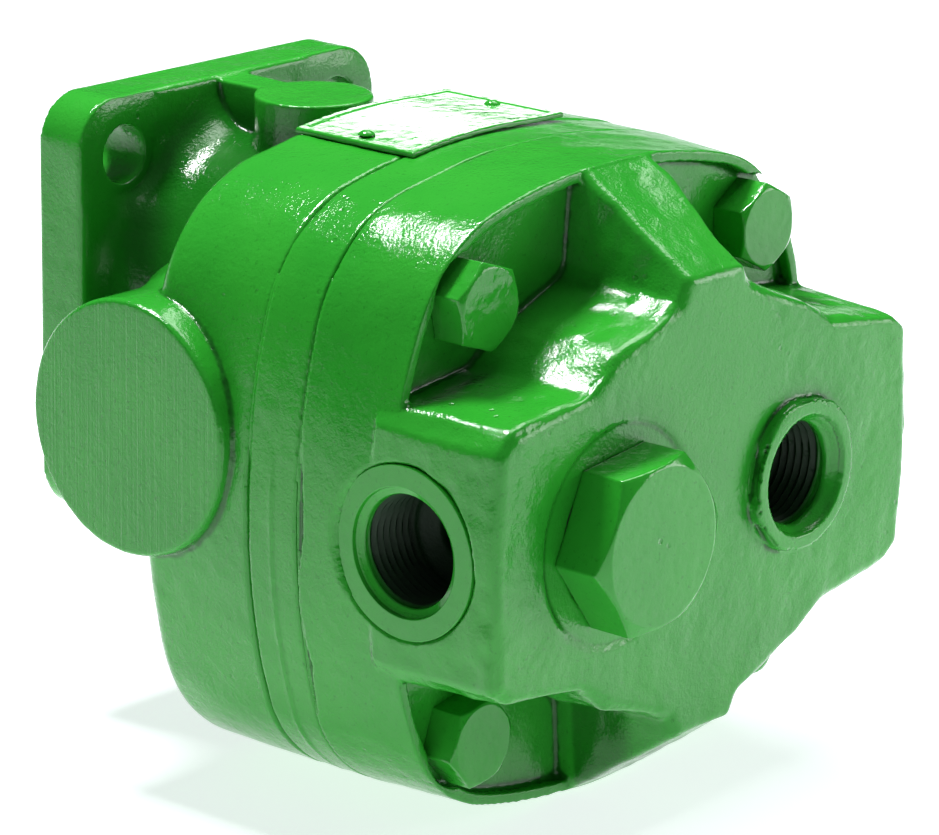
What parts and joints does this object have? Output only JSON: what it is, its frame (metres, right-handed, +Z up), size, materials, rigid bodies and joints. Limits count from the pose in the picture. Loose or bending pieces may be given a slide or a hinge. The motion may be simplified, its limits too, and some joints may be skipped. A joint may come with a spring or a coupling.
{
  "type": "hydraulic gear pump or motor",
  "caption": "Cast hydraulic gear pump with a square bolt flange, keyed shaft, blank side boss, ported rear cover with cover bolts, hex valve plug and a plain plate.",
  "frame": {"origin": "centre of the mounting flange's face, on the drive shaft's axis", "axes": "+Y along the drive shaft, away from the casing; +Z up, the drive shaft above the idler; +X to the right seen along +Y"},
  "size_m": [0.1603, 0.2202, 0.1532],
  "materials": {
    "painted_casting": "thick glossy enamel over sand-cast iron",
    "painted_steel": "glossy enamel over machined steel",
    "painted_plate": "glossy enamel over a thin plate",
    "steel": "ground and turned",
    "bronze": "bored bearing bronze",
    "rubber": "moulded oil-proof rubber"
  },
  "bodies": {
    "casing": {"front_housing": "painted_casting", "gear_plate": "painted_casting", "rear_cover": "painted_casting", "front_drive_bush": "bronze", "front_idler_bush": "bronze", "rear_drive_bush": "bronze", "rear_idler_bush": "bronze", "bearing_outer_race": "steel", "bearing_retaining_ring": "steel", "shaft_seal": "rubber", "front_face_seal": "rubber", "rear_face_seal": "rubber", "dowel_pins": "steel", "cover_bolts": "painted_steel", "valve_plug": "painted_steel", "valve_plug_seal": "rubber", "valve_seat": "steel", "valve_spring": "steel", "nameplate": "painted_plate", "nameplate_screws": "painted_plate"},
    "drive": {"drive_shaft": "steel", "shaft_key": "steel", "drive_gear": "steel", "drive_gear_key": "steel", "bearing_inner_race": "steel", "shaft_retaining_ring": "steel"},
    "idler": {"idler_shaft": "steel", "idler_gear": "steel", "idler_gear_key": "steel"},
    "balls": {"bearing_balls": "steel"},
    "poppet": {"valve_poppet": "steel"}
  },
  "joints": [
    {"name": "drive_spin", "type": "hinge", "parent": "casing", "child": "drive", "pos_m": [0, 0, 0], "axis": [0, 1, 0], "continuous": true},
    {"name": "idler_spin", "type": "hinge", "parent": "casing", "child": "idler", "pos_m": [0, 0, -0.0508], "axis": [0, 1, 0], "continuous": true},
    {"name": "ball_orbit", "type": "hinge", "parent": "casing", "child": "balls", "pos_m": [0, 0, 0], "axis": [0, 1, 0], "continuous": true},
    {"name": "valve_lift", "type": "slide", "parent": "casing", "child": "poppet", "axis": [0, -1, 0], "range_m": [0, 0.004], "stiffness_N_per_m": 1500, "springref_m": -0.004, "deforming": ["valve_spring"]}
  ],
  "couplings": [
    {"joint": "idler_spin", "follows": "drive_spin", "ratio": -1},
    {"joint": "ball_orbit", "follows": "drive_spin", "ratio": 0.399}
  ]
}
